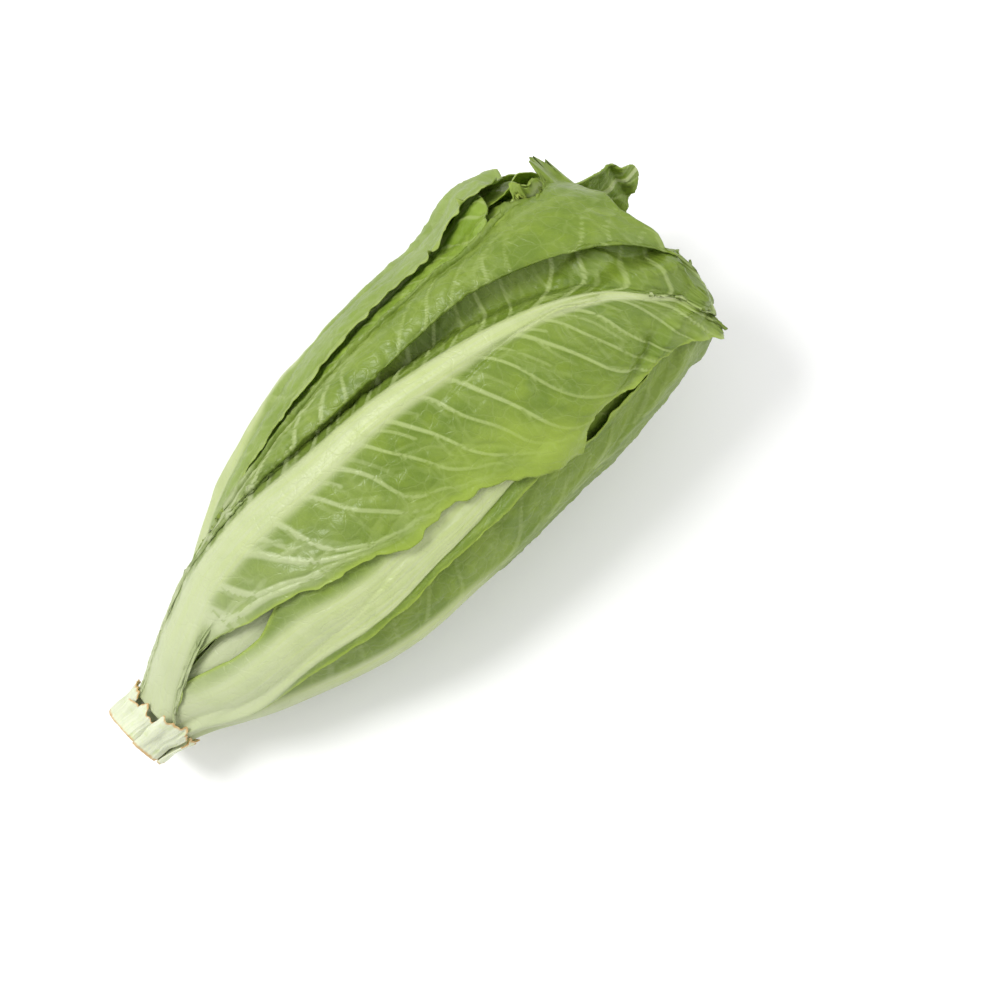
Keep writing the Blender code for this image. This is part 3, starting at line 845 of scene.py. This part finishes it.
SPIRALS = (
    # slot, how many, turn of the first; then of the first leaf and how much more it is of the last one:
    # base, tip, half width at the widest and level in the head; and finish and cells
    ("heart_leaf", 6, 40, (98, -12), (190, 50), (17, 13), (0.12, 0.22), HEART_FINISH, (60, 31)),
    ("inner_leaf", 8, 150, (80, -28), (246, 20), (33, 12), (0.38, 0.24), INNER_FINISH, (90, 51)),
)


def heart_and_inner_leaves():
    for slot, count, first, *spans, finish, cells in SPIRALS:
        for number in range(count):
            share = number / (count - 1)
            facts = [start + more * share for start, more in spans]
            turn = first + GOLDEN_ANGLE * number
            yield spiral_leaf(f"{slot}_{number + 1}", turn, *facts, finish, slot, cells)


def outer_leaves():
    yield big_leaf(
        "back_right_inner_leaf", 36, 276, rib=steady(148),
        left=((38, 124), (100, 98), (276, 104)), right=((38, 172), (100, 200), (276, 190)),
        level=steady(0.70), swell=1.0, cells=(120, 71),
    )
    yield big_leaf(
        "back_left_inner_leaf", 34, 272, rib=steady(-144),
        left=((36, -168), (100, -190), (272, -186)), right=((36, -120), (100, -92), (272, -100)),
        level=steady(0.74), swell=1.0, cells=(120, 71),
    )
    yield big_leaf(
        "curled_leaf", 30, 268, rib=steady(-66), rounding=10, finish=INNER_FINISH,
        left=((34, -88), (100, -104), (266, -104)),
        right=((34, -46), (100, -38), (200, -44), (240, -52), (266, -64)),
        level=((34, 0.66), (150, 0.66), (225, 0.74), (266, 0.82)), swell=0.7, tuck_right=6,
        crumple=3.0, frill=2.4,
    )
    yield big_leaf(
        "right_inner_leaf", 24, 280, rib=((24, 6), (70, 12), (120, 28), (264, 32)),
        left=((24, -18), (100, -12), (264, 18)), right=((24, 60), (100, 116), (264, 112)),
        level=((24, 0.66), (60, 0.72), (150, 0.82), (215, 0.91), (278, 0.93)), swell=1.4, wide=1.5,
        pale=((24, 1.0), (80, 0.8), (130, 0.1), (200, 0.0)),
    )
    yield big_leaf(
        "crown_leaf", 30, 303, rib=((32, 196), (200, 205), (262, 228), (303, 240)), rounding=26,
        left=((32, 178), (100, 160), (262, 188), (303, 206)),
        right=((32, 218), (100, 252), (262, 284), (303, 272)),
        level=((32, 0.70), (200, 0.78), (255, 0.80), (280, 1.0), (290, 1.3), (296, 1.9), (303, 1.9)),
        swell=1.0, looseness=1.6, frill=0.1, wave=0.4, teeth=0.4,
    )
    yield big_leaf(
        "left_inner_leaf", 24, 248, rib=((30, -72), (246, -86)), finish=BRIGHT_LEAF_FINISH,
        left=((30, -92), (100, -128), (246, -124)), right=((30, -52), (100, -40), (246, -40)),
        level=((30, 0.74), (100, 0.80), (246, 0.81)), tuck_left=2, swell=0.7,
        vein_spacing=0.8, vein_height=0.9,
    )
    yield big_leaf(
        "back_left_leaf", 13, 282, rib=((16, -138), (280, -134)),
        left=((16, -154), (90, -178), (280, -172)), right=((16, -120), (90, -96), (280, -100)),
        level=((16, 0.74), (90, 0.86), (280, 0.89)), tuck_left=2, tuck_right=2, swell=0.8,
    )
    yield big_leaf(
        "back_right_leaf", 13, 288, rib=((16, 118), (288, 116)),
        left=((16, 102), (60, 92), (180, 84), (288, 66)), right=((16, 136), (90, 162), (288, 158)),
        level=((16, 0.74), (90, 0.89), (288, 0.90)), tuck_left=1, tuck_right=2,
    )
    yield big_leaf(
        "right_leaf", 12, 290, rib=((14, 80), (60, 78), (150, 74), (291, 72)),
        left=((14, 55), (60, 38), (168, 40), (200, 53), (215, 56), (256, 54), (291, 50)),
        right=((14, 100), (90, 122), (291, 118)),
        level=((14, 0.76), (60, 0.90), (120, 0.98), (235, 0.97), (262, 0.91), (291, 0.80)),
        lift_left=((14, 0), (195, 0), (215, 1.6), (255, 1.4), (285, 0)),
        tuck_left=5, rounding=14, frill=1.4, wide=1.15, vein_show=0.5,
        rib_show=((14, 1), (110, 0.9), (170, 0.25), (230, 0.1), (290, 0)),
    )
    yield big_leaf(
        "bottom_leaf", 13, 278, rib=steady(172),
        left=((15, 154), (90, 124), (276, 132)), right=((15, 190), (90, 222), (276, 214)),
        level=((15, 0.76), (70, 0.985), (276, 0.985)), tuck_right=2, swell=1.5,
    )
    yield big_leaf(
        "left_leaf", 13, 262, rib=((15, -92), (262, -104)), rounding=12, finish=PALE_LEAF_FINISH,
        left=((15, -110), (90, -148), (262, -146)),
        right=((15, -78), (60, -82), (85, -74), (137, -68), (223, -69), (262, -78)),
        level=((15, 0.76), (60, 0.86), (110, 0.95), (220, 0.95), (262, 0.92)), tuck_right=8,
        teeth=1.8, swell=1.0, vein_show=0.6,
    )
    yield big_leaf(
        "front_right_leaf", 13, 248,
        rib=((15, 34), (40, 36), (60, 33), (75, 31), (115, 37), (145, 38), (188, 36), (256, 36)),
        left=((15, -2), (28, -8), (43, 2), (52, 8), (62, 10), (74, 5), (90, -4), (256, 4)),
        right=((15, 52), (40, 57), (75, 50), (115, 49), (145, 48.5), (188, 47.5), (215, 43), (256, 43)),
        level=((15, 0.76), (60, 0.90), (150, 0.92), (256, 0.84)), tuck_left=2, tuck_right=2.5,
        rib_half=((13, 7), (45, 9.5), (80, 10), (120, 8.5), (160, 7.5), (200, 6), (248, 2)),
        rib_sharp_left=3, rib_sharp_right=12, lift_right=((13, 0.4), (60, 2.2), (190, 2.2), (250, 0)),
        teeth=0.4, frill=0.4, vein_show=0.3, vein_height=0.3, pucker=0.4,
    )
    yield leaf_of(
        "front_leaf", 13, 288, shape=front_section, rib_half=FRONT_RIB_HALF, cells=(270, 161),
        rib_height=((13, 1.2), (45, 2.8), (110, 2.6), (200, 1.8), (255, 1.0), (280, 0.3)),
        rib_sharp_left=8, frill=0.8, looseness=1.2, pucker=1.1, vein_height=1.0, teeth=0.8,
        stand_off=((-1, 0), (-0.93, 0), (-0.8, 3.6), (-0.55, 3.6), (-0.45, 0), (1, 0)),
        rib_show=((13, 1), (262, 1), (279, 0.3)), vein_width=1.15, vein_show=1.25,
        glow_edge=((120, 0), (165, 0.5), (195, 1), (215, 0.9), (240, 0)),
        pale=((13, 1.0), (50, 0.8), (85, 0.5), (120, 0.22), (160, 0.06), (200, 0.0)),
    )


# ---- front leaf

FRONT_RIB_LEFT = track(
    (13, -9), (26, -16.8), (46, -25), (67, -31.6), (96, -33.5), (126, -31), (157, -28.5), (180, -24.4),
    (202, -19), (227, -10.8), (249, 0.7), (267, 15.9), (280, 26.6),
)
FRONT_RIB_HALF = track(
    (13, 8), (60, 8.4), (96, 8.4), (126, 7.5), (157, 6.4), (180, 6.0), (202, 5.2), (227, 4.2),
    (249, 3.2), (285, 1.8),
)
FRONT_EDGE_RIGHT = track(
    (13, 8), (30, -0.5), (43, -5.6), (52, -4.8), (61, -1.5), (75, 2.4), (89, 6.5), (96, 10), (118, 15),
    (136, 21), (150, 20.8), (165, 24.2), (181, 30.5), (187, 33.5), (204, 37.8), (211, 34), (223, 31.4),
    (239, 33.5), (250, 31.5), (268, 32), (280, 33.5),
)
FRONT_CREASE = track(
    (13, 4), (60, -3), (120, 9), (190, 14), (196, 16), (205, 23), (215, 27), (237, 30), (280, 29),
)
# The left half of the front leaf dips into a valley and rises again into a long roll.
ROLL_OUTSIDE = track(
    (13, -11), (46, -27), (67, -33.5), (96, -38), (112, -40.4), (131, -42.7), (160, -45.4), (205, -44.2),
    (226, -41.5), (250, -42.5), (262, -39), (272, -40.5), (288, -38),
)
ROLL_INSIDE = track(
    (13, -10), (67, -32.6), (96, -35), (126, -34), (168, -32), (187, -31.4), (208, -30), (230, -24.7),
    (246, -18.6), (261, -11), (277, 1), (288, 12),
)
ROLL_TUCK = track((13, 0), (80, 0), (130, 0.55), (180, 1), (222, 0.9), (250, 0.25), (270, 0), (288, 0))
ROLL_HEIGHT = track((13, 0), (80, 0), (130, 0.55), (180, 1), (288, 1))
OVERHANG = track((13, 0), (150, 0), (195, 4.5), (250, 4.5), (276, 1), (288, 0))
FOLD = track((13, 0), (188, 0), (202, 1), (240, 0.8), (262, 0))
FRONT_TIP = track((-1, 271), (-0.8, 276), (-0.6, 283), (-0.42, 287.5), (-0.2, 284), (0, 280), (1, 278))
FRONT_DEPTH = 0.93


def dome(along, across):
    """Height of the front of the head above its axis."""
    half = HALF_WIDTH(along)
    return FRONT_DEPTH * half * np.sqrt(np.maximum(1 - (across / half) ** 2, 0.02))


def front_section(leaf, up, side):
    """The front leaf: the edge under its roll, the roll, the valley, the rib and the right edge."""
    base = leaf.base
    along = base + (FRONT_TIP(side) - base) * up
    outside, inside, rib_left, crease, edge = (
        line(along) - BEND(along)
        for line in (ROLL_OUTSIDE, ROLL_INSIDE, FRONT_RIB_LEFT, FRONT_CREASE, FRONT_EDGE_RIGHT)
    )
    rib_right = rib_left + 2 * FRONT_RIB_HALF(along)
    roll, over, fold, tuck = ROLL_HEIGHT(along), OVERHANG(along), FOLD(along), ROLL_TUCK(along)
    crease = np.clip(crease, rib_right + 0.3 * (edge - rib_right), rib_right + 0.9 * (edge - rib_right))
    knots = (
        (-1.0, outside + 10 * tuck, -11 * tuck - 1),
        (-0.90, outside + 3.5 * tuck, -6.5 * tuck - 1),
        (-0.81, outside + 0.3 * tuck, -1.8 * tuck - 1),
        (-0.70, 0.65 * outside + 0.35 * inside, 2.6 * roll - 1),
        (-0.56, inside, -1),
        (-0.50, inside - 0.2 * over, -2.8 * roll - 1),
        (-0.42, inside - over + roll, -7.5 * roll - 1),
        (-0.26, 0.4 * inside + 0.6 * rib_left, -12 * roll - 1),
        (-0.11, rib_left - 0.6 * roll, -2.6 - 2.4 * roll),
        (0.0, (rib_left + rib_right) / 2, -0.2),
        (0.12, rib_right, -1.4),
        (0.42, 0.5 * rib_right + 0.5 * crease, -2.6),
        (0.74, crease, -2.4 + 1.2 * fold),
        (1.0, edge, -2 - 2.6 * fold),
    )
    across, rise = (through_knots(side, [(knot[0], knot[which]) for knot in knots]) for which in (1, 2))
    height = dome(along, across) + rise
    return along, np.degrees(np.arctan2(across, height)), np.hypot(across, height) - BLADE


def through_knots(side, knots):
    """A smooth curve over side through knots whose values change along the leaf."""
    result = np.zeros_like(side)
    slopes = []
    for number in range(len(knots)):
        before = knots[max(number - 1, 0)]
        after = knots[min(number + 1, len(knots) - 1)]
        slopes.append((after[1] - before[1]) / (after[0] - before[0]))
    for number in range(len(knots) - 1):
        (start, from_value), (end, to_value) = knots[number], knots[number + 1]
        run = end - start
        t = np.clip((side - start) / run, 0, 1)
        curve = (2 * t**3 - 3 * t**2 + 1) * from_value + (3 * t**2 - 2 * t**3) * to_value
        curve = curve + run * ((t**3 - 2 * t**2 + t) * slopes[number] + (t**3 - t**2) * slopes[number + 1])
        result = np.where((side >= start) & (side <= end), curve, result)
    return result


# ---- stem

STEM_PROFILE = track(
    (0, 12.8), (7, 12.0), (14, 9.4), (26, 8.4), (60, 7.0), (90, 4.6), (104, 1.2),
)
STEM_SIDES = 120


def make_stem():
    """The stem: a browned cut face with its rings, a slightly uneven flank, and a point inside the head."""
    face = [(radius, 0.0) for radius in (0.02, 1.5, 3, 4.5, 6, 7.5, 9, 10.2, 11.2, 12.0, 12.6)]
    flank = [(float(STEM_PROFILE(place)), float(place)) for place in
             (0.5, 1.2, 2.2, 3.5, 5, 7, 9, 11, 14, 18, 24, 32, 45, 60, 75, 90, 99, 104)]
    rings = np.array(face + flank + [(0.02, 106.0)])
    turn, radius = np.meshgrid(np.linspace(0, 360, STEM_SIDES, endpoint=False), rings[:, 0])
    along = rings[:, 1:] + 0 * turn
    around = np.radians(turn)
    on_face = along == 0
    x, y = radius * np.cos(around), radius * np.sin(around)
    lumps = 0.35 * ripple(turn * 0.35, along * 1.2, 6, 5)
    shaped = np.where(on_face, radius, radius * (1 + 0.03 * lumps) - 0.3 * (lumps + 0.35))
    dish = 0.7 * np.exp(-((radius / 7) ** 2)) + 0.3 * ripple(x, y, 3.5, 8) + 0.2 * np.cos(radius * 2.2)
    lengthwise = np.where(on_face, dish * ease(radius, 12.6, 10.5), along)
    points = to_world(lengthwise, -turn, shaped)
    inside_face = np.where(on_face, ease(radius, 7, 12.4) * 0.8 + 0.15, 0)
    rim = np.where(on_face, 0, 1 - ease(along, 0.8, 3.2))
    fields = {"brown": inside_face + rim}
    places = np.stack([radius * around, lengthwise + radius * on_face * 3, 0 * x], axis=2)
    mesh = grid_mesh("stem_core_fresh", points, fields, places, close_round=True)
    mesh.materials.append(STEM_FINISH)
    add_piece("stem_core", "cut_stem", mesh)
    along, turn = along[len(face):], turn[len(face):]
    stack.add(along, turn, STEM_PROFILE(along) + 0.3 + np.abs(BEND(along)), 4)


# ---- stubs of the trimmed leaves

STUBS = (
    # angle round the stem, distances along it, half its width in degrees
    (-78, -1.0, 16, 38),
    (-18, -0.5, 13, 32),
    (34, -1.0, 17, 30),
    (86, -0.5, 15, 30),
    (148, -1.0, 16, 38),
    (214, -0.5, 14, 36),
)
STUB_WALL = 2.4


def make_stub(number, turn, base, tip, half):
    """The pale broken base of a leaf that was trimmed off, with a ragged, browned top."""
    name = f"leaf_stub_{number}"
    seed = 90 + number
    up, side = grid(40, 49)
    torn = 1.8 * ripple(side * 20, 0 * side, 6, seed) + 0.6 * ripple(side * 20, 0 * side, 1.8, seed + 1)
    along = base + (tip - 2.5 * np.abs(side) ** 2 + torn - base) * up
    angle = turn + side * half + 2 * ripple(along, side, 5, seed + 2)
    thickness = 0.5 + (STUB_WALL - 0.5) * (1 - up**2) * (1 - side**4) * 0.8
    flare = 0.7 * ease(up, 0.5, 1.0) * (1 + ripple(side * 20, along, 6, seed + 3))
    radius = np.maximum(0.9 * hull_radius(along, angle), stack.cover(along, angle) + 0.2)
    radius = radius + thickness + flare + 0.25 * ripple(side * 22, along * 0.1, 2.0, seed + 4)
    points = to_world(along, angle, radius)
    points[..., 2] = np.maximum(points[..., 2], ABOVE_TABLE)
    stack.add(along, angle, radius, 2)
    brown = ease(up, 0.86, 1.0) * 0.8 + (1 - ease(along, -0.6, 1.6)) * 0.75
    fields = {"brown": brown, "blade": 0 * up, "thickness": thickness * MM}
    places = np.stack([side * half * 0.3 + 40 * number, along, 0 * up], axis=2)
    with_wall(name, "pale_stub", outward_mesh(name, points, fields, places), STUB_FINISH)


# ---- the head

make_stem()
for leaf in heart_and_inner_leaves():
    lay_leaf(leaf)
for leaf in outer_leaves():
    lay_leaf(leaf)
for number, facts in enumerate(STUBS, 1):
    make_stub(number, *facts)


# ---- floor, light and camera

FLOOR_HALF = 40.0               # metres
FLOOR_DROP = -0.0002


def make_floor():
    mesh = bpy.data.meshes.new("floor")
    corners = [(x * FLOOR_HALF, y * FLOOR_HALF, FLOOR_DROP) for x, y in ((-1, -1), (1, -1), (1, 1), (-1, 1))]
    mesh.from_pydata(corners, [], [(0, 1, 2, 3)])
    floor = put_in_scene("floor", mesh)
    paint = Finish("white_floor")
    paint.shader.inputs["Base Color"].default_value = (0.93, 0.93, 0.93, 1.0)
    paint.shader.inputs["Roughness"].default_value = 0.7
    mesh.materials.append(paint.material)


def soft_light(name, place, size, power, aim):
    data = bpy.data.lights.new(name, "AREA")
    data.shape = "DISK"
    data.size = size
    data.energy = power
    lamp = put_in_scene(name, data)
    lamp.location = place
    direction = np.array(aim, float) - np.array(place, float)
    lamp.rotation_euler = look_along(direction)


def look_along(direction):
    """Turns a camera or a lamp, which point along -Z, to face a direction with the world's up as its up."""
    return Vector(direction).to_track_quat("-Z", "Y").to_euler()


CAMERA_TURN = math.radians(-43.7)
CAMERA_HEIGHT = math.radians(77.2)
CAMERA_DISTANCE = 0.938         # metres, like the two below
AIM_RIGHT = 0.0445
AIM_UP = -0.0126
LENS = 85
SENSOR = 36


def make_camera():
    back = np.array([
        math.sin(CAMERA_TURN) * math.cos(CAMERA_HEIGHT),
        -math.cos(CAMERA_TURN) * math.cos(CAMERA_HEIGHT),
        math.sin(CAMERA_HEIGHT),
    ])
    right = np.array([math.cos(CAMERA_TURN), math.sin(CAMERA_TURN), 0.0])
    up = np.cross(back, right)
    lowest, highest = (np.array(corner) for corner in cad_box)
    aim = (lowest + highest) / 2 + AIM_RIGHT * right + AIM_UP * up
    data = bpy.data.cameras.new("camera")
    data.lens = LENS
    data.sensor_width = SENSOR
    camera = put_in_scene("camera", data)
    camera.location = aim + CAMERA_DISTANCE * back
    camera.rotation_euler = look_along(-back)
    bpy.context.scene.camera = camera


make_floor()
make_camera()
LIT_SPOT = (0, 0, 0.05)
soft_light("key", (-0.45, 0.55, 1.25), 0.55, 13.0, LIT_SPOT)
soft_light("fill", (0.9, -0.7, 0.9), 1.2, 6.0, LIT_SPOT)
world = bpy.data.worlds.new("studio")
bpy.context.scene.world = world
world.use_nodes = True
sky = world.node_tree.nodes["Background"].inputs
sky["Color"].default_value = (1.0, 1.0, 1.0, 1.0)
sky["Strength"].default_value = 0.8
bpy.context.scene.view_settings.view_transform = "Standard"
